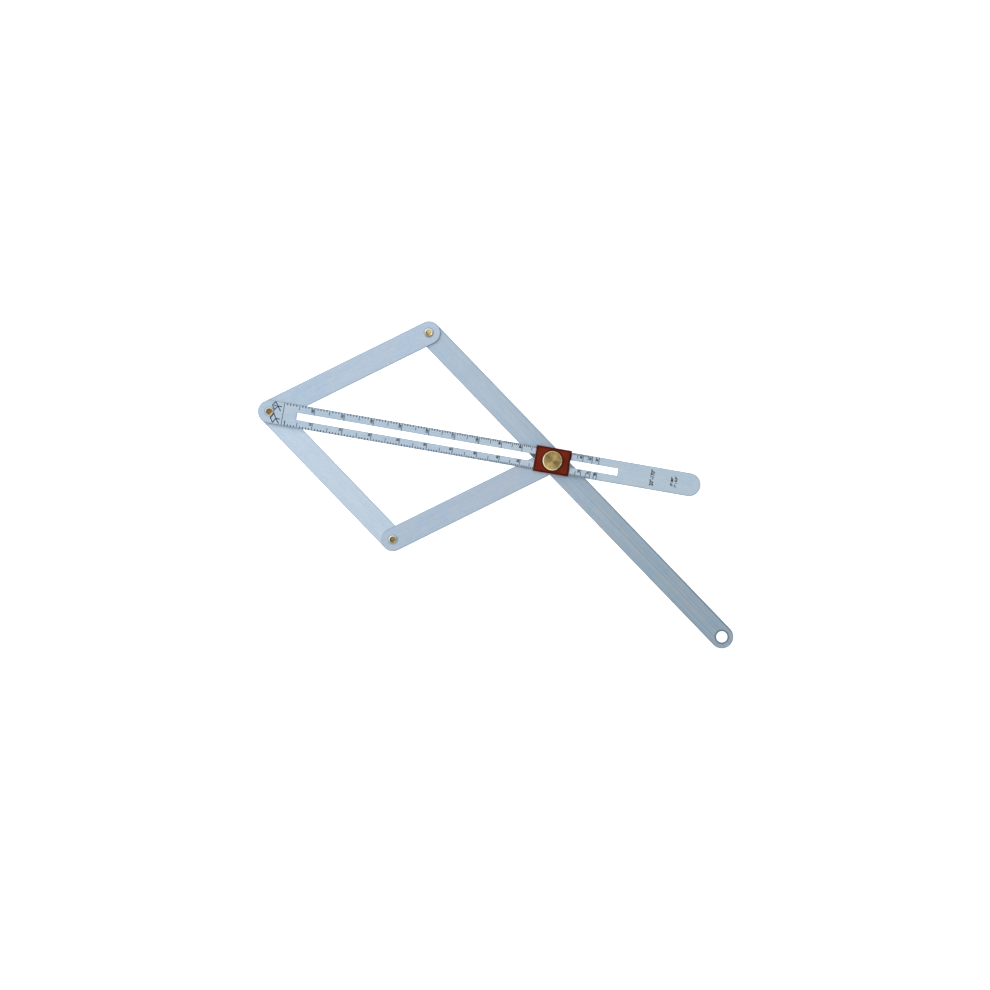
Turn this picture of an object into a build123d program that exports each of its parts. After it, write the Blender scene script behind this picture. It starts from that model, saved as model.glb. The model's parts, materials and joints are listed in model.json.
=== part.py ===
"""Corner angle bevel: four flat links, hinged as a rhombus, that a slotted degree arm always halves.

Millimetres, +Z up. The origin is on the apex pivot's axis, in the plane that the tool lies on. +X runs
along the slotted scale arm from the apex to its grip, and +Y points to the side of the upper link.
The bars lie in three layers: the lower link and the long arm at the bottom, the upper link and the
cross link on them, and the scale arm on top. A thin washer parts two layers at every pivot. The clamp
screw stands in the long arm, passes through the cross link and the arm's slot, and carries the slider
and the knob. The slider's apex end is the index that reads the scale.
"""

from build123d import *

import os
from math import cos, radians, sin, sqrt

# The rhombus
link_pitch = 150.0  # from pivot to pivot on every side
apex_angle = 72.4  # between the upper and the lower link as modelled
apex_angle_min = 20.0  # the stud then stops at the grip end of the slot
apex_angle_max = 170.0  # the stud then stops at the apex end of the slot

# The bars
bar_width = 19.6
bar_thickness = 2.0
edge_ease = 0.4  # chamfer round every bar's outline and the hanging hole
grip_length = 70.9  # from the slot's end to the tip of the scale arm
tail_length = 206.2  # from the clamp pivot to the hanging hole of the long arm
hang_hole_diameter = 9.5

# The washers between the layers
washer_diameter = 12.0
washer_thickness = 0.3
washer_clearance = 0.1  # radial, round a rivet, the stud or the thread

# The rivets: a dished head on top, and a tail that is peened over a rove underneath
rivet_diameter = 4.0
head_diameter = 7.2
head_height = 1.0
head_ease = 0.7
dish_diameter = 5.2
dish_floor_diameter = 3.8
dish_depth = 0.3
rove_diameter = 8.0
rove_thickness = 0.6
tail_diameter = 5.6
tail_height = 0.6
foot_ease = 0.2  # chamfer of what the tool stands on

# The clamp
running_clearance = 0.05  # radial, where a bar turns on a rivet or on the stud
stud_diameter = 5.0
slot_clearance = 0.5  # on each side of the stud, across the slot
stop_gap = 0.05  # left between the stud and the slot's end at either limit
screw_head_diameter = 11.0
thread_step = 0.5  # radial step from the stud's plain shoulder down to its thread
shoulder_recess = 0.8  # of the shoulder's end below the slider's top, so that the knob can clamp
slider_length = 30.1
slider_thickness = 2.2
slider_ease = 0.5
slider_clearance = 0.1  # on each side of the scale arm
lip_thickness = 1.2
lip_gap = 0.2  # from the lip's lower edge to the underside of the scale arm
knob_washer_diameter = 12.0
knob_washer_thickness = 0.6
knob_diameter = 16.4
knob_height = 7.0
knob_ease = 0.9
collar_diameter = 11.0
collar_height = 1.0
knurl_count = 60
knurl_depth = 0.3
thread_reach = 4.9  # of the screw into the knob
blind_gap = 0.6  # from the screw's tip to the end of the knob's bore

# Places that follow from the sizes
half_angle = radians(apex_angle / 2)
apex = Vector(0, 0)
upper_pivot = Vector(link_pitch * cos(half_angle), link_pitch * sin(half_angle))
lower_pivot = Vector(upper_pivot.X, -upper_pivot.Y)
clamp_pivot = Vector(2 * upper_pivot.X, 0)

z_lower = tail_height + rove_thickness
z_upper = z_lower + bar_thickness + washer_thickness
z_scale = z_upper + bar_thickness + washer_thickness
z_slider = z_scale + bar_thickness
z_knob_washer = z_slider + slider_thickness
z_knob = z_knob_washer + knob_washer_thickness

thread_diameter = stud_diameter - 2 * thread_step
rivet_hole = rivet_diameter + 2 * running_clearance
stud_hole = stud_diameter + 2 * running_clearance
slot_width = stud_diameter + 2 * slot_clearance


def stud_travel(angle):
    """Distance from the apex to the clamp pivot when the rhombus stands at this apex angle."""
    return 2 * link_pitch * cos(radians(angle / 2))


slot_start = stud_travel(apex_angle_max) - stud_diameter / 2 - stop_gap
slot_end = stud_travel(apex_angle_min) + stud_diameter / 2 + stop_gap


def write(piece, label):
    """Names a finished piece and writes its STEP file."""
    piece.part.label = label
    export_step(piece.part, f"parts/{label}.step")


def bar_plane(start, heading, z):
    """Plane at height z with its origin on a bar's first pivot and its X axis along the bar."""
    direction = (cos(heading), sin(heading), 0)
    return Plane(origin=(start.X, start.Y, z), x_dir=direction, z_dir=(0, 0, 1))


def ease_outline(bar):
    """Chamfers the outer outline of a bar's two flat faces."""
    for side in (0, -1):
        flat = bar.faces().filter_by(Axis.Z).sort_by(Axis.Z)[side]
        chamfer(flat.outer_wire().edges(), edge_ease)


def make_link(label, start, heading, z, first_hole, second_hole):
    """A round-ended link with a round hole at each pivot."""
    with BuildPart() as link:
        with BuildSketch(bar_plane(start, heading, z)):
            with Locations((link_pitch / 2, 0)):
                SlotCenterToCenter(link_pitch, bar_width)
            Circle(first_hole / 2, mode=Mode.SUBTRACT)
            with Locations((link_pitch, 0)):
                Circle(second_hole / 2, mode=Mode.SUBTRACT)
        extrude(amount=bar_thickness)
        ease_outline(link)
    write(link, label)


def make_long_arm():
    """The long arm, with a square hole that holds the screw's neck and a hanging hole in its tail."""
    reach = link_pitch + tail_length
    with BuildPart() as arm:
        with BuildSketch(bar_plane(upper_pivot, -half_angle, z_lower)):
            with Locations((reach / 2, 0)):
                SlotCenterToCenter(reach, bar_width)
            Circle(rivet_hole / 2, mode=Mode.SUBTRACT)
            with Locations((link_pitch, 0)):
                Rectangle(stud_diameter, stud_diameter, mode=Mode.SUBTRACT)
            with Locations((reach, 0)):
                Circle(hang_hole_diameter / 2, mode=Mode.SUBTRACT)
        extrude(amount=bar_thickness)
        ease_outline(arm)
        rims = arm.edges().filter_by(GeomType.CIRCLE)
        chamfer(rims.filter_by(lambda rim: abs(2 * rim.radius - hang_hole_diameter) < 0.001), edge_ease)
    write(arm, "long_arm")


def make_scale_arm():
    """The slotted arm that carries the degree scale and ends in a plain grip."""
    reach = slot_end + grip_length - bar_width / 2
    with BuildPart() as arm:
        with BuildSketch(Plane.XY.offset(z_scale)):
            with Locations((reach / 2, 0)):
                SlotCenterToCenter(reach, bar_width)
            Circle(rivet_diameter / 2, mode=Mode.SUBTRACT)
            with Locations(((slot_start + slot_end) / 2, 0)):
                Rectangle(slot_end - slot_start, slot_width, mode=Mode.SUBTRACT)
        extrude(amount=bar_thickness)
        ease_outline(arm)
    write(arm, "scale_arm")


def make_rivet(label, pivot, layers):
    """A brass rivet through its bars: tail on the rest plane, shank, and a head with a dished face."""
    grip_top = z_lower + layers * bar_thickness + (layers - 1) * washer_thickness
    head_top = grip_top + head_height
    dish_floor = head_top - dish_depth
    with BuildPart() as rivet:
        with BuildSketch(Plane(origin=(pivot.X, pivot.Y, 0), x_dir=(1, 0, 0), z_dir=(0, -1, 0))):
            with BuildLine():
                Polyline(
                    (0, 0),
                    (tail_diameter / 2 - foot_ease, 0),
                    (tail_diameter / 2, foot_ease),
                    (tail_diameter / 2, tail_height),
                    (rivet_diameter / 2, tail_height),
                    (rivet_diameter / 2, grip_top),
                    (head_diameter / 2, grip_top),
                    (head_diameter / 2, head_top - head_ease),
                    (head_diameter / 2 - head_ease, head_top),
                    (dish_diameter / 2, head_top),
                    (dish_floor_diameter / 2, dish_floor),
                    (0, dish_floor),
                    close=True,
                )
            make_face()
        revolve(axis=Axis((pivot.X, pivot.Y, 0), (0, 0, 1)))
    write(rivet, label)


def make_washer(label, pivot, z, thickness, diameter, shaft_diameter):
    """A flat washer or rove round a rivet, the stud or the screw's thread."""
    with BuildPart() as washer:
        with BuildSketch(Plane.XY.offset(z)):
            with Locations((pivot.X, pivot.Y)):
                Circle(diameter / 2)
                Circle(shaft_diameter / 2 + washer_clearance, mode=Mode.SUBTRACT)
        extrude(amount=thickness)
    write(washer, label)


def make_clamp_screw():
    """Low head under the long arm, square neck in it, plain stud for the pivots, then the thread."""
    shoulder_end = z_knob_washer - shoulder_recess
    tip = z_knob + thread_reach
    with BuildPart() as screw:
        with BuildSketch(Plane.XY):
            with Locations((clamp_pivot.X, clamp_pivot.Y)):
                Circle(screw_head_diameter / 2)
        extrude(amount=z_lower)
        chamfer(screw.faces().sort_by(Axis.Z)[0].edges(), foot_ease)
        with BuildSketch(bar_plane(clamp_pivot, -half_angle, z_lower)):
            Rectangle(stud_diameter, stud_diameter)
        extrude(amount=bar_thickness)
        with BuildSketch(Plane.XY.offset(z_lower + bar_thickness)):
            with Locations((clamp_pivot.X, clamp_pivot.Y)):
                Circle(stud_diameter / 2)
        extrude(amount=shoulder_end - z_lower - bar_thickness)
        with BuildSketch(Plane.XY.offset(shoulder_end)):
            with Locations((clamp_pivot.X, clamp_pivot.Y)):
                Circle(thread_diameter / 2)
        extrude(amount=tip - shoulder_end)
        chamfer(screw.faces().sort_by(Axis.Z)[-1].edges(), thread_step)
    write(screw, "clamp_screw")


def make_slider():
    """The red slider: a plate on the scale arm with a lip down each of the arm's edges."""
    channel_width = bar_width + 2 * slider_clearance
    lip_bottom = z_scale + lip_gap
    centre = (clamp_pivot.X, clamp_pivot.Y)
    with BuildPart() as slider:
        with BuildSketch(Plane.XY.offset(lip_bottom)):
            with Locations(centre):
                Rectangle(slider_length, channel_width + 2 * lip_thickness)
        extrude(amount=z_knob_washer - lip_bottom)
        chamfer(slider.faces().sort_by(Axis.Z)[-1].edges(), slider_ease)
        with BuildSketch(Plane.XY.offset(lip_bottom)):
            with Locations(centre):
                Rectangle(slider_length, channel_width)
        extrude(amount=z_slider - lip_bottom, mode=Mode.SUBTRACT)
        with Locations((*centre, z_knob_washer)):
            Hole(stud_hole / 2)
    write(slider, "slider")


def make_knob():
    """The knurled brass nut: a collar on its washer, a blind bore for the screw and an eased face."""
    knob_radius = knob_diameter / 2
    collar_top = z_knob + collar_height
    knob_top = z_knob + knob_height
    bore_radius = thread_diameter / 2 + running_clearance
    bore_top = z_knob + thread_reach + blind_gap
    with BuildPart() as knob:
        with BuildSketch(Plane(origin=(clamp_pivot.X, 0, 0), x_dir=(1, 0, 0), z_dir=(0, -1, 0))):
            with BuildLine():
                Polyline(
                    (bore_radius, z_knob),
                    (collar_diameter / 2, z_knob),
                    (collar_diameter / 2, collar_top),
                    (knob_radius - knurl_depth, collar_top),
                    (knob_radius, collar_top + knurl_depth),
                    (knob_radius, knob_top - knob_ease),
                    (knob_radius - knob_ease, knob_top),
                    (0, knob_top),
                    (0, bore_top),
                    (bore_radius, bore_top),
                    close=True,
                )
            make_face()
        revolve(axis=Axis((clamp_pivot.X, 0, 0), (0, 0, 1)))
        with BuildSketch(Plane.XY.offset(collar_top)):
            with Locations((clamp_pivot.X, clamp_pivot.Y)):
                with PolarLocations(knob_radius, knurl_count):
                    Rectangle(knurl_depth * sqrt(2), knurl_depth * sqrt(2), rotation=45)
        extrude(amount=knob_top - collar_top, mode=Mode.SUBTRACT)
    write(knob, "knob")


os.makedirs("parts", exist_ok=True)

make_scale_arm()
make_link("upper_link", apex, half_angle, z_upper, rivet_hole, rivet_diameter)
make_link("lower_link", apex, -half_angle, z_lower, rivet_hole, rivet_diameter)
make_link("cross_link", lower_pivot, half_angle, z_upper, rivet_hole, stud_hole)
make_long_arm()

make_rivet("apex_rivet", apex, layers=3)
make_rivet("upper_rivet", upper_pivot, layers=2)
make_rivet("lower_rivet", lower_pivot, layers=2)

rove_sizes = (rove_thickness, rove_diameter, rivet_diameter)
make_washer("apex_rove", apex, tail_height, *rove_sizes)
make_washer("upper_rove", upper_pivot, tail_height, *rove_sizes)
make_washer("lower_rove", lower_pivot, tail_height, *rove_sizes)

z_low_gap = z_lower + bar_thickness
z_high_gap = z_upper + bar_thickness
rivet_washer_sizes = (washer_thickness, washer_diameter, rivet_diameter)
make_washer("apex_washer_low", apex, z_low_gap, *rivet_washer_sizes)
make_washer("apex_washer_high", apex, z_high_gap, *rivet_washer_sizes)
make_washer("upper_washer", upper_pivot, z_low_gap, *rivet_washer_sizes)
make_washer("lower_washer", lower_pivot, z_low_gap, *rivet_washer_sizes)

stud_washer_sizes = (washer_thickness, washer_diameter, stud_diameter)
make_washer("clamp_washer_low", clamp_pivot, z_low_gap, *stud_washer_sizes)
make_washer("clamp_washer_high", clamp_pivot, z_high_gap, *stud_washer_sizes)

knob_washer_sizes = (knob_washer_thickness, knob_washer_diameter, thread_diameter)
make_washer("knob_washer", clamp_pivot, z_knob_washer, *knob_washer_sizes)

make_clamp_screw()
make_slider()
make_knob()
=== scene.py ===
"""Looks of the corner angle bevel: brushed bars, brass fittings, a red slider and the printed scale."""

import json
from math import atan2, cos, pi, radians, sin

import bmesh
import bpy
from mathutils import Matrix, Vector


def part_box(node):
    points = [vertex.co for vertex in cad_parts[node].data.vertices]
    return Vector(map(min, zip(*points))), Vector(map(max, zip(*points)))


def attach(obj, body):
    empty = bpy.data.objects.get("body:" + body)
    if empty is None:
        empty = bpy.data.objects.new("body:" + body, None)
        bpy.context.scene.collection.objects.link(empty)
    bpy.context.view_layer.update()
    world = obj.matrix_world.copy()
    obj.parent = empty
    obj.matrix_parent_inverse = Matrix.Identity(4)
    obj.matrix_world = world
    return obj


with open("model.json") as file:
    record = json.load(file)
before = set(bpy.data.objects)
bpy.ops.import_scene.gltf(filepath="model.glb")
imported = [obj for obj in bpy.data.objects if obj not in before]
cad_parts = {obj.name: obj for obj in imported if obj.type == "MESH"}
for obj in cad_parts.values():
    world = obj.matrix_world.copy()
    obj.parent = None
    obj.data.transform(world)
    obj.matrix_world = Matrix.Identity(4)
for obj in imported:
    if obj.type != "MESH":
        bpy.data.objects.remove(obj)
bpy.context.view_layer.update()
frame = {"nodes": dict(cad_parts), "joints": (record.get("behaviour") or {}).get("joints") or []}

MM = 0.001
PER_METRE = 1000.0  # millimetres

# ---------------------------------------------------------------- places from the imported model
JOINTS = {joint["name"]: joint for joint in frame["joints"]}
APEX = Vector((0, 0, 0))
UPPER = Vector(JOINTS["long_arm_pivot"]["pos_m"])
LOWER = Vector(JOINTS["cross_link_pivot"]["pos_m"])
CLAMP = Vector(JOINTS["slider_pivot"]["pos_m"])
PITCH = UPPER.xy.length
HALF_ANGLE = atan2(UPPER.y, UPPER.x)

SCALE_LOW, SCALE_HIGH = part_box("scale_arm")
SLIDER_LOW, SLIDER_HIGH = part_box("slider")
KNOB_LOW, KNOB_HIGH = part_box("knob")
LONG_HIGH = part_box("long_arm")[1]
BAR_HALF = (SCALE_HIGH.y - SCALE_LOW.y) / 2
SLIDER_EASE = 0.5 * MM  # the chamfer round the slider's face
INDEX = CLAMP.x - SLIDER_LOW.x - SLIDER_EASE  # from the clamp's axis to the edge that the scale is read at
FACE = SCALE_HIGH.z
LIGHT = Vector((-0.85, 0.52))  # towards the key light, as seen from above


# ---------------------------------------------------------------- shader building
class Graph:
    """A material's node tree, with short calls for the nodes that the surfaces are made of."""

    def __init__(self, name):
        self.material = bpy.data.materials.new(name)
        self.material.use_nodes = True
        self.tree = self.material.node_tree
        self.tree.nodes.clear()

    def feed(self, socket, value):
        if isinstance(value, bpy.types.NodeSocket):
            self.tree.links.new(value, socket)
        else:
            socket.default_value = value

    def node(self, kind, inputs=(), **settings):
        made = self.tree.nodes.new(kind)
        for key, value in settings.items():
            setattr(made, key, value)
        for key, value in dict(inputs).items():
            self.feed(made.inputs[key], value)
        return made

    def math(self, operation, a, b=0.0):
        return self.node("ShaderNodeMath", {0: a, 1: b}, operation=operation).outputs[0]

    def ramp(self, value, start, end, low=0.0, high=1.0):
        """Smooth step of value from low at start to high at end."""
        inputs = {"Value": value, "From Min": start, "From Max": end, "To Min": low, "To Max": high}
        return self.node("ShaderNodeMapRange", inputs, interpolation_type="SMOOTHSTEP").outputs[0]

    def mix(self, factor, a, b):
        made = self.node("ShaderNodeMix", data_type="RGBA")
        self.feed(made.inputs[0], factor)
        self.feed(made.inputs[6], a)
        self.feed(made.inputs[7], b)
        return made.outputs[2]

    def placed(self, origin, heading=0.0):
        """Object coordinates in millimetres, from origin, turned so that X runs along heading."""
        turn = Matrix.Rotation(-heading, 3, "Z")
        shift = turn @ (-origin * PER_METRE)
        inputs = {
            "Vector": self.node("ShaderNodeTexCoord").outputs["Object"],
            "Location": (shift.x, shift.y, 0.0),
            "Rotation": (0.0, 0.0, -heading),
            "Scale": (PER_METRE, PER_METRE, PER_METRE),
        }
        return self.node("ShaderNodeMapping", inputs).outputs[0]

    def split(self, vector):
        """The vector's x, y and z."""
        return self.node("ShaderNodeSeparateXYZ", {0: vector}).outputs

    def join(self, x, y, z):
        return self.node("ShaderNodeCombineXYZ", {0: x, 1: y, 2: z}).outputs[0]

    def noise(self, vector, sizes, detail=2.0, roughness=0.5, distortion=0.0):
        """Noise with a feature size in millimetres along each axis."""
        scale = tuple(1 / size for size in sizes)
        inputs = {
            "Vector": self.node("ShaderNodeMapping", {"Vector": vector, "Scale": scale}).outputs[0],
            "Scale": 1.0,
            "Detail": detail,
            "Roughness": roughness,
            "Distortion": distortion,
        }
        return self.node("ShaderNodeTexNoise", inputs).outputs["Fac"]

    def times(self, a, b):
        return self.math("MULTIPLY", a, b)

    def add(self, a, b):
        return self.math("ADD", a, b)

    def less(self, a, b):
        return self.math("SUBTRACT", a, b)

    def radius(self, x, y):
        return self.math("SQRT", self.add(self.times(x, x), self.times(y, y)))

    def bump(self, height, depth):
        """Bump of that depth in metres between height 0 and height 1."""
        return self.node("ShaderNodeBump", {"Height": height, "Distance": depth, "Strength": 1.0}).outputs[0]

    def finish(self, **inputs):
        named = {key.replace("_", " "): value for key, value in inputs.items()}
        shader = self.node("ShaderNodeBsdfPrincipled", named)
        out = self.node("ShaderNodeOutputMaterial")
        self.tree.links.new(shader.outputs[0], out.inputs[0])
        return self.material


def rgb(red, green, blue):
    """Linear colour of an 8-bit sRGB one."""
    def linear(v):
        v /= 255
        return v / 12.92 if v <= 0.04045 else ((v + 0.055) / 1.055) ** 2.4

    return (linear(red), linear(green), linear(blue), 1.0)


# distances on the bars, in millimetres; in each pair the effect grows from the first to the second
EASED = 1.1, 0.3  # the eased edge, in from a bar's outline
SHADED_CUT = 0.55, 0.40  # the line of its cut side: a darker cut edge, with painted shade that is deeper on the side away from the light
OUTER_SHADE = 1.7, 0.7  # painted shade along the long arm's outer edge, where its side is in shadow
HANG_HOLE_SHADE = 6.6, 5.5  # painted shade round the hanging hole, on its chamfer
PIVOT_GRIME_SHADE = 4.9, 3.7  # grime and painted shade round a rivet
PIVOT_RUB = 6.2, 5.9  # the ring rubbed by the bar that lies on this one
PIVOT_RUB_INSIDE = 4.2, 4.6
SLOT_LIP = 3.8, 3.4  # from the slot's middle line
SLOT_ENDS = 22.9, 298.0  # along the scale arm
# the painted shadow that the scale arm casts by the clamp, seen through its slot, along the scale arm and
# across it
CLAMP_SHADOW_NEAR, CLAMP_SHADOW_FAR = (-9.0, -12.0), (-24.0, -21.0)
CLAMP_SHADOW_TOP, CLAMP_SHADOW_LOW = (3.8, 3.0), (-0.6, 0.6)

CUT_SHADE = 0.65  # how dark a cut side's line is when the light falls along the bar
CUT_LIT = 0.2  # and how much that changes where it faces the light or away


def aluminium(name, start, heading, length, near, far, pivots, streaks=0.0, slotted=False, clamp_shadowed=False):
    """Brushed bar: lengthwise grain, darker edges, rubbed rings round its pivots, streaks to its far end, and
    painted shade on the cut side away from the light, round the pivots and the hanging hole, along the long
    arm's outer edge and under the scale arm by the clamp.
    """
    g = Graph(name)
    at = g.placed(start, heading)
    x, y = g.split(at)[:2]
    over = g.math("MAXIMUM", g.math("MAXIMUM", g.times(x, -1.0), g.less(x, length)), 0.0)
    from_axis = g.radius(over, y)
    half = BAR_HALF / MM
    edge = g.ramp(from_axis, half - EASED[0], half - EASED[1])
    shaded_cut = g.ramp(from_axis, half - SHADED_CUT[0], half - SHADED_CUT[1])
    lit = LIGHT.y * cos(heading) - LIGHT.x * sin(heading)
    # painted shade: the cut side's line is darker where it faces away from the light
    shaded_cut = g.times(shaded_cut, g.ramp(y, -0.5, 0.5, CUT_SHADE + CUT_LIT * lit, CUT_SHADE - CUT_LIT * lit))

    hairline = g.noise(at, (9.0, 0.10, 2.0), detail=3.0, roughness=0.6)
    grain = g.noise(at, (16.0, 0.45, 5.0), detail=4.0, roughness=0.65)
    band = g.noise(at, (400.0, 1.1, 8.0), detail=3.0, roughness=0.65)
    stripe = g.noise(at, (320.0, 2.2, 8.0), detail=2.0, roughness=0.6)
    cloud = g.noise(at, (15.0, 10.0, 9.0), detail=4.0, roughness=0.6)
    speck = g.noise(at, (1.5, 1.0, 1.2), detail=3.0, roughness=0.75)
    scratch = g.ramp(g.noise(at, (0.35, 6.0, 2.0), detail=2.0), 0.71, 0.77)

    # brightness: the noises' weighted sum, brought back to about 1.3
    along = g.ramp(x, 0.0, length)
    tone = g.add(g.times(grain, 0.30), g.times(cloud, 0.10))
    tone = g.add(tone, g.times(speck, 0.42))
    tone = g.add(tone, g.times(hairline, 0.26))
    tone = g.add(tone, g.times(g.less(band, 0.5), g.add(g.times(along, streaks), 0.22)))
    tone = g.add(tone, g.times(g.times(g.less(stripe, 0.5), g.times(along, streaks)), 0.9))
    shade = g.add(g.less(tone, 0.54), 1.30)
    hsv = g.node("ShaderNodeHueSaturation", {"Color": g.mix(along, near, far), "Value": shade})
    g.feed(hsv.inputs["Saturation"], g.ramp(cloud, 0.3, 0.7, 0.88, 1.12))
    colour = hsv.outputs[0]

    if streaks:
        # painted shade along the outer edge, deeper towards the far end
        outer_shade = g.ramp(y, half - OUTER_SHADE[0], half - OUTER_SHADE[1])
        colour = g.mix(g.times(outer_shade, g.ramp(along, 0.1, 0.9, 0.1, 0.5)), colour, rgb(104, 124, 138))
        # pale lines: where across the bar, and how wide on each side
        for middle, reach in ((-0.9, 0.6), (1.6, 0.5), (half - 2.6, 0.7)):
            pale = g.ramp(g.math("ABSOLUTE", g.less(y, middle)), reach, 0.1)
            pale = g.times(pale, g.ramp(along, 0.35, 0.8, 0.0, 0.42))
            colour = g.mix(g.times(pale, g.ramp(speck, 0.35, 0.65, 0.4, 1.0)), colour, rgb(196, 212, 222))
        # painted shade: a dark ring round the hanging hole
        rim = g.times(g.ramp(g.radius(g.less(x, length), y), *HANG_HOLE_SHADE), 0.7)
        colour = g.mix(rim, colour, rgb(88, 104, 116))
    for pivot in pivots:
        ring = g.radius(g.less(x, pivot), y)
        # grime and painted shade in a dark ring round each rivet
        grime_and_shade = g.times(g.ramp(ring, *PIVOT_GRIME_SHADE), g.ramp(cloud, 0.3, 0.7, 0.25, 0.6))
        colour = g.mix(grime_and_shade, colour, rgb(96, 104, 112))
        rub = g.times(g.ramp(ring, *PIVOT_RUB), g.ramp(ring, *PIVOT_RUB_INSIDE))
        rub = g.times(rub, g.ramp(speck, 0.45, 0.75, 0.0, 0.35))
        colour = g.mix(rub, colour, rgb(222, 228, 234))
    if clamp_shadowed:
        # painted shadow under the scale arm by the clamp
        u, v = g.split(g.placed(CLAMP))[:2]
        patch = g.times(g.ramp(u, *CLAMP_SHADOW_NEAR), g.ramp(u, *CLAMP_SHADOW_FAR))
        patch = g.times(patch, g.times(g.ramp(v, *CLAMP_SHADOW_TOP), g.ramp(v, *CLAMP_SHADOW_LOW)))
        colour = g.mix(g.times(patch, 0.75), colour, rgb(72, 82, 94))
    worn = g.times(edge, g.ramp(band, 0.5, 0.7, 0.0, 0.8))
    colour = g.mix(g.times(edge, 0.22), colour, rgb(128, 142, 152))
    if slotted:
        inside = g.times(
            g.ramp(x, SLOT_ENDS[0] - 1.0, SLOT_ENDS[0]), g.ramp(x, SLOT_ENDS[1] + 1.0, SLOT_ENDS[1]))
        lip = g.times(g.ramp(g.math("ABSOLUTE", y), *SLOT_LIP), inside)
        colour = g.mix(g.times(lip, 0.35), colour, rgb(140, 152, 162))
    colour = g.mix(g.times(worn, 0.20), colour, rgb(226, 233, 240))
    # painted shade along the cut side
    colour = g.mix(g.times(shaded_cut, g.ramp(speck, 0.3, 0.7, 0.5, 0.8)), colour, rgb(84, 96, 106))
    colour = g.mix(g.times(scratch, 0.22), colour, rgb(232, 238, 243))

    relief = g.add(g.times(hairline, 0.6), g.times(grain, 0.8))
    return g.finish(
        Base_Color=colour,
        Metallic=0.85,
        Roughness=g.add(g.ramp(grain, 0.3, 0.7, 0.34, 0.48), g.times(worn, -0.10)),
        Normal=g.bump(g.less(relief, g.times(scratch, 0.5)), 0.00003),
    )


def brass(name, centre, face, dark, rim, rings, rim_start, rim_end, lean, turned=0.0, sheen=0.0, glints=()):
    """Turned brass round a vertical axis: rings on the face, cloudy tarnish and a rim painted brighter as a
    highlight.

    Distances are in millimetres. lean is how much brighter the face gets towards a side, as painted light and
    shade; turned is the strength of the lathe's sheen, both as anisotropy and as painted sheen in the colour;
    sheen is the angle that it points at; and glints are the painted bright spots on the rim,
    each with its angle in degrees and the cosine at which it fades out.
    """
    g = Graph(name)
    at = g.placed(centre)
    x, y, z = g.split(at)
    r = g.radius(x, y)
    cloud = g.noise(at, (2.6, 2.6, 3.0), detail=6.0, roughness=0.68, distortion=0.3)
    speck = g.noise(at, (0.45, 0.45, 0.45), detail=3.0, roughness=0.7)
    wobble = g.add(r, g.times(cloud, 0.05))
    ring = g.math("SINE", g.times(wobble, 2 * pi / rings))
    lathe = g.noise(g.join(wobble, 0.0, z), (0.16, 1.0, 0.16), detail=3.0, roughness=0.7)

    tarnish = g.ramp(cloud, 0.25, 0.75)
    colour = g.mix(tarnish, face, dark)
    colour = g.mix(g.times(g.ramp(speck, 0.50, 0.75), 0.55), colour, dark)
    # painted highlight: the rim is coloured brighter, and glints are painted on it
    rim_highlight = g.ramp(r, rim_start, rim_end)
    colour = g.mix(g.times(rim_highlight, g.ramp(speck, 0.3, 0.7, 0.75, 1.0)), colour, rim)
    turn = g.math("ARCTAN2", y, x)
    for middle, spread in glints:
        glint = g.ramp(g.math("COSINE", g.less(turn, radians(middle))), spread, 1.0, 0.0, 0.85)
        colour = g.mix(g.times(glint, rim_highlight), colour, rgb(255, 240, 202))
    # painted sheen: lighter and darker lobes across the turned face
    inner = g.times(g.ramp(r, rim_start, rim_start - 1.0), turned * 0.40)
    sheen_lobes = g.math("COSINE", g.times(g.less(turn, sheen), 2.0))
    shade = g.add(g.ramp(lathe, 0.25, 0.75, 0.86, 1.12), g.times(sheen_lobes, inner))
    # painted light and shade: the face brighter towards one side
    shade = g.add(shade, g.add(g.times(x, lean.x / rim_start), g.times(y, lean.y / rim_start)))
    colour = g.node("ShaderNodeHueSaturation", {"Color": colour, "Value": shade}).outputs[0]

    height = g.add(g.times(ring, 0.30), g.times(lathe, 1.4))
    return g.finish(
        Base_Color=colour,
        Metallic=1.0,
        Roughness=g.add(g.ramp(tarnish, 0.0, 1.0, 0.24, 0.38), g.times(rim_highlight, -0.08)),
        Anisotropic=turned,
        Tangent=g.node("ShaderNodeTangent", direction_type="RADIAL", axis="Z").outputs[0],
        Normal=g.bump(g.add(height, g.times(speck, 0.2)), 0.000025),
    )


# distances on the slider, in millimetres; in each pair the effect grows from the first to the second
EDGE_SHADE = 2.4, 0.9  # painted shade on the eased edges, in from the slider's edges
EDGE_SHADE_OUTSIDE = 0.1, 0.4
# pale edges: wear, and a painted highlight on the chamfer
WORN_EDGE_HIGHLIGHT = 0.35, 0.1
KNOB_SHADOW = 10.0, 8.4  # from the clamp's axis


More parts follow.
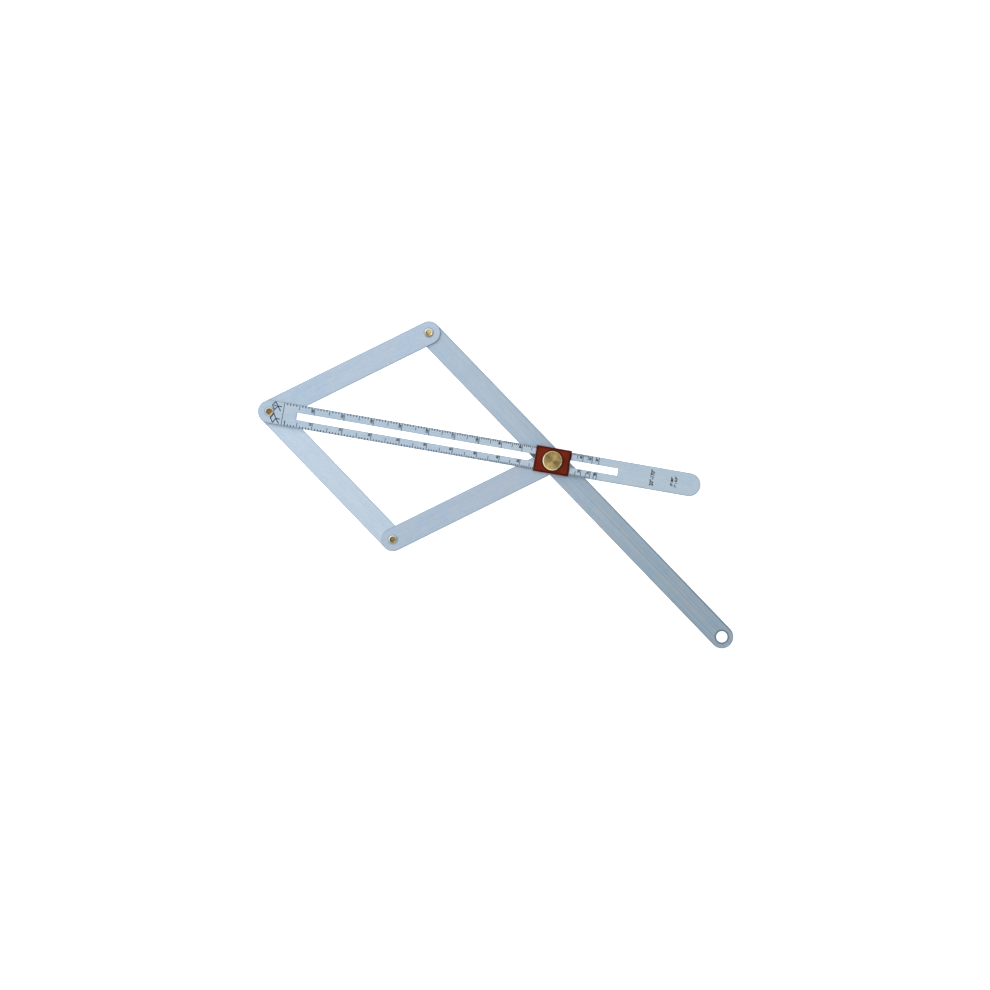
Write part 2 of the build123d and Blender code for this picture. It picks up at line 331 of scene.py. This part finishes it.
def red_coating():
    """Red-brown coated plate with painted shade as a dark border, edges worn pale and painted with a
    highlight, and a painted shadow ring round the knob.
    """
    g = Graph("red_coating")
    at = g.placed(CLAMP)
    x, y = g.split(at)[:2]
    half_x = (CLAMP.x - SLIDER_LOW.x) / MM
    half_y = (SLIDER_HIGH.y - SLIDER_LOW.y) / 2 / MM
    to_x = g.less(half_x, g.math("ABSOLUTE", x))
    to_y = g.less(half_y, g.math("ABSOLUTE", y))
    to_edge = g.math("MINIMUM", to_x, to_y)
    grain = g.noise(at, (14.0, 0.3, 2.0), detail=3.0, roughness=0.6)
    cloud = g.noise(at, (6.0, 6.0, 4.0), detail=4.0, roughness=0.6)
    peel = g.noise(at, (0.7, 0.7, 0.7), detail=2.0)
    fleck = g.noise(at, (0.5, 0.5, 0.5), detail=3.0, roughness=0.7)

    colour = g.mix(g.ramp(cloud, 0.25, 0.75), rgb(138, 48, 26), rgb(122, 40, 22))
    colour = g.mix(g.ramp(grain, 0.4, 0.8, 0.0, 0.12), colour, rgb(150, 64, 38))
    colour = g.mix(g.ramp(fleck, 0.45, 0.75, 0.0, 0.35), colour, rgb(96, 26, 18))
    # painted shade: a dark border along the edges
    edge_shade = g.times(g.ramp(to_edge, *EDGE_SHADE), g.ramp(to_edge, *EDGE_SHADE_OUTSIDE))
    colour = g.mix(g.times(edge_shade, 0.8), colour, rgb(52, 16, 14))
    # wear and a painted highlight along the edges
    worn = g.times(g.ramp(to_edge, *WORN_EDGE_HIGHLIGHT), g.ramp(peel, 0.35, 0.65, 0.2, 0.8))
    colour = g.mix(worn, colour, rgb(190, 112, 98))
    shadow = g.times(g.ramp(g.radius(x, y), *KNOB_SHADOW), g.ramp(peel, 0.3, 0.7, 0.6, 0.9))
    colour = g.mix(shadow, colour, rgb(52, 22, 12))

    return g.finish(
        Base_Color=colour,
        Metallic=0.9,
        Roughness=g.add(g.ramp(cloud, 0.3, 0.7, 0.34, 0.46), g.times(worn, -0.1)),
        Normal=g.bump(g.add(g.times(peel, 0.7), g.times(fleck, 0.3)), 0.00003),
    )


def zinc_steel():
    """Bright zinc plate with a faint crystalline cloud and turning marks."""
    g = Graph("zinc_steel")
    at = g.placed(CLAMP)
    x, y, z = g.split(at)
    cloud = g.noise(at, (2.2, 2.2, 2.2), detail=5.0, roughness=0.65)
    ring = g.noise(g.join(g.radius(x, y), 0.0, z), (0.14, 1.0, 0.14), detail=3.0)
    colour = g.mix(g.ramp(cloud, 0.3, 0.7), rgb(206, 208, 210), rgb(168, 171, 176))
    colour = g.mix(g.ramp(ring, 0.55, 0.8, 0.0, 0.4), colour, rgb(140, 143, 148))
    rough = g.ramp(cloud, 0.3, 0.7, 0.24, 0.40)
    return g.finish(Base_Color=colour, Metallic=1.0, Roughness=rough, Normal=g.bump(ring, 0.00002))


def acetal():
    """Dark moulded washers with a faint mottle."""
    g = Graph("dark_acetal")
    at = g.placed(APEX)
    mottle = g.noise(at, (0.5, 0.5, 0.5), detail=4.0, roughness=0.7)
    colour = g.mix(g.ramp(mottle, 0.3, 0.7), rgb(46, 47, 50), rgb(64, 66, 70))
    rough = g.ramp(mottle, 0.3, 0.7, 0.45, 0.62)
    return g.finish(Base_Color=colour, Roughness=rough, Normal=g.bump(mottle, 0.00001))


def ink():
    """Dark etched and filled marks, a little uneven."""
    g = Graph("scale_ink")
    at = g.placed(APEX)
    patch = g.noise(at, (0.8, 0.8, 0.8), detail=3.0, roughness=0.6)
    colour = g.mix(g.ramp(patch, 0.35, 0.75), rgb(8, 12, 22), rgb(28, 36, 50))
    return g.finish(
        Base_Color=colour,
        Roughness=g.ramp(patch, 0.3, 0.7, 0.55, 0.75),
        Specular_IOR_Level=0.2,
        Normal=g.bump(patch, 0.000008),
    )


def dress(node, material):
    """Gives a CAD node its material."""
    slots = frame["nodes"][node].data.materials
    slots.clear()
    slots.append(material)


# ---------------------------------------------------------------- the CAD nodes' materials
LINK = PITCH / MM
LONG = (LONG_HIGH.x - UPPER.x - BAR_HALF) / cos(HALF_ANGLE) / MM
SCALE = (SCALE_HIGH.x - BAR_HALF) / MM
ENDS = (0.0, LINK)  # a link's pivots

# near and far colours are painted light on one aluminium: the blue tint is painted sky reflection, the lower
# link is painted lighter than the other bars, and the long arm is painted darker towards its far end
dress("scale_arm", aluminium(
    "scale_metal", APEX, 0.0, SCALE, rgb(177, 195, 212), rgb(182, 199, 213), (0.0,), slotted=True))
dress("upper_link", aluminium(
    "upper_metal", APEX, HALF_ANGLE, LINK, rgb(176, 194, 211), rgb(178, 195, 213), ENDS))
dress("lower_link", aluminium(
    "lower_metal", APEX, -HALF_ANGLE, LINK, rgb(192, 208, 224), rgb(190, 206, 221), ENDS))
dress("cross_link", aluminium(
    "cross_metal", LOWER, HALF_ANGLE, LINK, rgb(175, 192, 209), rgb(173, 188, 205), ENDS, clamp_shadowed=True))
dress("long_arm", aluminium(
    "long_metal", UPPER, -HALF_ANGLE, LONG, rgb(175, 192, 208), rgb(147, 165, 179), ENDS, 0.8, clamp_shadowed=True))

KNOB_RADIUS = (KNOB_HIGH.x - KNOB_LOW.x) / 2 / MM
# the knob's rim colour, glints, sheen and lean are painted light on its brass
dress("knob", brass(
    "knob_brass", CLAMP, rgb(208, 182, 122), rgb(144, 125, 80), rgb(228, 200, 148),
    rings=0.42, rim_start=KNOB_RADIUS - 0.8, rim_end=KNOB_RADIUS - 0.6, lean=Vector((-0.10, -0.20)),
    turned=0.7, sheen=radians(65), glints=((190, 0.6), (280, 0.8), (350, 0.95))))
# the rivets' near-white rim is a painted highlight
RIVET_RIM_HIGHLIGHT = rgb(255, 251, 236)
# one brass, painted in lighter and darker copies as light falls on each rivet, the upper one brightest; lean
# paints light on one side of each head
for rivet, centre, face, dark, lean in (
    ("apex", APEX, rgb(174, 148, 94), rgb(106, 90, 52), Vector((0.22, 0.05))),
    ("upper", UPPER, rgb(252, 232, 174), rgb(172, 150, 102), Vector((0.12, 0.40))),
    ("lower", LOWER, rgb(182, 164, 106), rgb(112, 102, 60), Vector((0.05, 0.22))),
):
    metal = brass(
        f"{rivet}_rivet_brass", centre, face, dark, RIVET_RIM_HIGHLIGHT,
        rings=0.3, rim_start=2.6, rim_end=2.8, lean=lean)
    dress(f"{rivet}_rivet", metal)
    dress(f"{rivet}_rove", metal)
dress("slider", red_coating())
STEEL = zinc_steel()
dress("clamp_screw", STEEL)
dress("knob_washer", STEEL)
ACETAL = acetal()
for node in frame["nodes"]:
    if "washer" in node and node != "knob_washer":
        dress(node, ACETAL)

# ---------------------------------------------------------------- the printed scale
INK = ink()
INK_LOW = FACE - 0.02 * MM
INK_HIGH = FACE + 0.03 * MM
ROUND_STEPS = 5  # in a line's round end
WELD = 0.001 * MM

FIGURE_SHARE = 0.72  # height of a figure as a share of the font's size
BOLD = 0.15 * MM
FIGURE_STEPS = 3  # with more, some outlines cross themselves once they are made bold, and fill with holes


def stroke(mesh, start, end, width):
    """Adds one printed line to a bmesh: a thin raised strip with round ends."""
    run = (end - start).normalized()
    side = Vector((-run.y, run.x))
    outline = []
    for centre, turn in ((end, -pi / 2), (start, pi / 2)):
        for step in range(ROUND_STEPS + 1):
            a = turn + pi * step / ROUND_STEPS
            outline.append(centre + (run * cos(a) + side * sin(a)) * width / 2)
    low = [mesh.verts.new((p.x, p.y, INK_LOW)) for p in outline]
    high = [mesh.verts.new((p.x, p.y, INK_HIGH)) for p in outline]
    mesh.faces.new(high)
    mesh.faces.new(reversed(low))
    for i in range(len(outline)):
        j = (i + 1) % len(outline)
        mesh.faces.new((low[i], low[j], high[j], high[i]))


def lettering(mesh, body, height, baseline, align, squeeze):
    """Adds printed figures to a bmesh: they read along +Y, with their tops towards the apex."""
    curve = bpy.data.curves.new("figures", "FONT")
    curve.body = body
    curve.size = height / FIGURE_SHARE
    curve.align_x = align
    curve.offset = BOLD
    curve.resolution_u = FIGURE_STEPS
    curve.extrude = (INK_HIGH - INK_LOW) / 2
    holder = bpy.data.objects.new("figures", curve)
    bpy.context.scene.collection.objects.link(holder)
    bpy.context.view_layer.update()
    data = bpy.data.meshes.new_from_object(holder.evaluated_get(bpy.context.evaluated_depsgraph_get()))
    bpy.data.objects.remove(holder)
    place = Matrix.Translation((baseline.x, baseline.y, (INK_LOW + INK_HIGH) / 2))
    data.transform(place @ Matrix.Rotation(pi / 2, 4, "Z") @ Matrix.Diagonal((squeeze, 1, 1, 1)))
    mesh.from_mesh(data)
    bpy.data.meshes.remove(data)


def printed(name, mesh):
    """Turns a bmesh into a printed piece on the scale arm."""
    bmesh.ops.remove_doubles(mesh, verts=mesh.verts, dist=WELD)
    bmesh.ops.dissolve_degenerate(mesh, edges=mesh.edges, dist=WELD)
    data = bpy.data.meshes.new(name)
    mesh.to_mesh(data)
    mesh.free()
    data.materials.append(INK)
    piece = bpy.data.objects.new(name, data)
    bpy.context.scene.collection.objects.link(piece)
    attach(piece, "scale_body")


def index_at(angle):
    """Where the slider's index edge stands on the scale arm when the rhombus has this apex angle."""
    return 2 * PITCH * cos(radians(angle / 2)) - INDEX


WIDEST, NARROWEST = 170, 20
CROWDED = 30  # below this angle only every fifth degree is marked
TICK = 0.5 * MM  # width of every fifth degree's mark
DOT = 0.8 * MM  # width of a single degree's mark, where there is room
TICK_SHARE = 0.46  # of the room to the next mark, where they crowd
EDGE_GAP = 0.6 * MM
LONG_TICK = 5.9 * MM
TOP_TICK, TOP_MID = 0.95 * MM, 3.5 * MM
LOW_TICK, LOW_MID = 0.85 * MM, 3.6 * MM
FIGURE = 2.1 * MM
FIGURE_GAP = 0.75 * MM  # between a figure and its mark
CORNER_LINE, CORNER_SQUEEZE = 8.0 * MM, 0.76  # where the upper row's figures end across the arm
MITRE_LINE, MITRE_SQUEEZE = -3.7 * MM, 0.85

ticks = bmesh.new()
rim = BAR_HALF - EDGE_GAP
for angle in range(WIDEST, NARROWEST - 1, -1):
    if angle < CROWDED and angle % 5:
        continue
    x = index_at(angle)
    if angle == WIDEST:  # one line right across
        stroke(ticks, Vector((x, rim)), Vector((x, -rim)), TICK)
        continue
    width = TICK if angle % 5 == 0 else min(DOT, TICK_SHARE * (index_at(angle - 1) - x))
    top, low = TOP_TICK, LOW_TICK
    if angle % 10 == 0:
        top, low = LONG_TICK, LONG_TICK
    elif angle % 5 == 0:
        top, low = TOP_MID, LOW_MID
    elif angle == WIDEST - 1:  # the lower row starts with a longer mark
        low = LOW_MID
    stroke(ticks, Vector((x, rim)), Vector((x, rim - top)), width)
    stroke(ticks, Vector((x, -rim)), Vector((x, -rim + low)), width)
printed("degree_marks", ticks)

corner_figures = bmesh.new()
mitre_figures = bmesh.new()
for angle in range(WIDEST - 10, NARROWEST - 1, -10):
    base = index_at(angle) - FIGURE_GAP
    lettering(corner_figures, str(angle), FIGURE, Vector((base, CORNER_LINE)), "RIGHT", CORNER_SQUEEZE)
    lettering(mitre_figures, str(90 - angle // 2), FIGURE, Vector((base, MITRE_LINE)), "RIGHT", MITRE_SQUEEZE)
printed("corner_figures", corner_figures)
printed("mitre_figures", mitre_figures)

# two small diagrams by the apex: the corner that is taken, and the angle that it is halved to
DIAGRAM_LINE = 0.74 * MM
DIAGRAM_HALF = Vector((2.3, 0)) * MM  # half of the rhombus, along the arm
LEGS = Vector((3.2, 0)) * MM, Vector((2.8, -3.7)) * MM
CORNER_CENTRE, CORNER_HALF = Vector((4.0, 5.85)) * MM, Vector((0, 3.5)) * MM
MITRE_CENTRE, MITRE_HALF = Vector((4.1, -4.75)) * MM, Vector((0, 3.9)) * MM


def diagram(name, centre, half, mark, mark_half, mark_width):
    """A rhombus with two legs, and the short mark that tells the two diagrams apart."""
    drawing = bmesh.new()
    corners = [centre - DIAGRAM_HALF, centre + half, centre + DIAGRAM_HALF, centre - half]
    for i in range(4):
        stroke(drawing, corners[i], corners[(i + 1) % 4], DIAGRAM_LINE)
    for leg in LEGS:
        stroke(drawing, corners[2], corners[2] + leg, DIAGRAM_LINE)
    stroke(drawing, mark - mark_half, mark + mark_half, mark_width)
    printed(name, drawing)


diagram("corner_diagram", CORNER_CENTRE, CORNER_HALF,
        mark=CORNER_CENTRE, mark_half=DIAGRAM_HALF * 0.3, mark_width=DIAGRAM_LINE)
diagram("mitre_diagram", MITRE_CENTRE, MITRE_HALF,
        mark=MITRE_CENTRE - DIAGRAM_HALF, mark_half=MITRE_HALF * 0.15, mark_width=DIAGRAM_LINE * 1.2)

# ranges of the two scales on the grip
GRIP_FIGURE, SMALL_FIGURE = 3.2 * MM, 1.9 * MM
grip_figures = bmesh.new()
for body, height, from_end, side, squeeze in (
    (f"{NARROWEST}°-{WIDEST}°", GRIP_FIGURE, 39.9 * MM, 0.4 * MM, 0.86),
    ("5°-80°", SMALL_FIGURE, 23.6 * MM, 0.1 * MM, 1.1),
    ("1° : 0.5°", SMALL_FIGURE, 20.3 * MM, 0.1 * MM, 1.1),
):
    lettering(grip_figures, body, height, Vector((SCALE_HIGH.x - from_end, side)), "CENTER", squeeze)
printed("grip_figures", grip_figures)

# ---------------------------------------------------------------- floor, light and camera
VIEW_TURN = radians(9.87)
VIEW_CENTRE = Vector((0.19946, -0.03669, 0.006))
VIEW_DISTANCE = 4.638
FLOOR_SIZE, FLOOR_DROP = 8.0, 0.0003
SKY_DIM, SKY_BRIGHT = 0.08, 1.05
WHITE = (1.0, 1.0, 1.0, 1.0)

above = Vector((0, 0, 1))
right = Vector((cos(VIEW_TURN), sin(VIEW_TURN), 0))  # of the picture
up = Vector((-sin(VIEW_TURN), cos(VIEW_TURN), 0))

bpy.ops.mesh.primitive_plane_add(size=FLOOR_SIZE, location=(VIEW_CENTRE.x, VIEW_CENTRE.y, -FLOOR_DROP))
floor = bpy.context.object
floor.name = "floor"
floor.data.materials.append(Graph("pale_floor").finish(
    Base_Color=(0.9, 0.9, 0.9, 1.0), Roughness=0.9, Emission_Color=WHITE, Emission_Strength=0.8))


def softbox(name, direction, distance, size, power):
    """A square soft light that faces the object."""
    light = bpy.data.lights.new(name, "AREA")
    light.size = size
    light.energy = power
    lamp = bpy.data.objects.new(name, light)
    bpy.context.scene.collection.objects.link(lamp)
    lamp.location = VIEW_CENTRE + direction.normalized() * distance
    lamp.rotation_euler = direction.to_track_quat("Z", "Y").to_euler()
    lamp.visible_camera = False


softbox("key", up * 0.8 - right * 0.9 + above * 1.1, distance=2.0, size=0.9, power=9.0)
softbox("top", above + up * 0.15, distance=2.6, size=2.2, power=3.4)

# a white studio that is bright on the side of the key light and dim on the other
world = bpy.data.worlds.new("studio")
bpy.context.scene.world = world
world.use_nodes = True
sky = world.node_tree
lit_side = sky.nodes.new("ShaderNodeVectorMath")
lit_side.operation = "DOT_PRODUCT"
lit_side.inputs[1].default_value = (up * 0.45 - right).normalized()
sky.links.new(sky.nodes.new("ShaderNodeTexCoord").outputs["Generated"], lit_side.inputs[0])
level = sky.nodes.new("ShaderNodeMapRange")
for socket, value in (("From Min", -1.0), ("From Max", 1.0), ("To Min", SKY_DIM), ("To Max", SKY_BRIGHT)):
    level.inputs[socket].default_value = value
sky.links.new(lit_side.outputs["Value"], level.inputs["Value"])
sky.links.new(level.outputs[0], sky.nodes["Background"].inputs["Strength"])
sky.nodes["Background"].inputs["Color"].default_value = WHITE
bpy.context.scene.view_settings.view_transform = "Standard"

camera_data = bpy.data.cameras.new("camera")
camera_data.lens = 200
camera_data.sensor_width = 36
camera = bpy.data.objects.new("camera", camera_data)
bpy.context.scene.collection.objects.link(camera)
camera.location = VIEW_CENTRE + above * VIEW_DISTANCE
camera.rotation_euler = (0, 0, VIEW_TURN)
bpy.context.scene.camera = camera
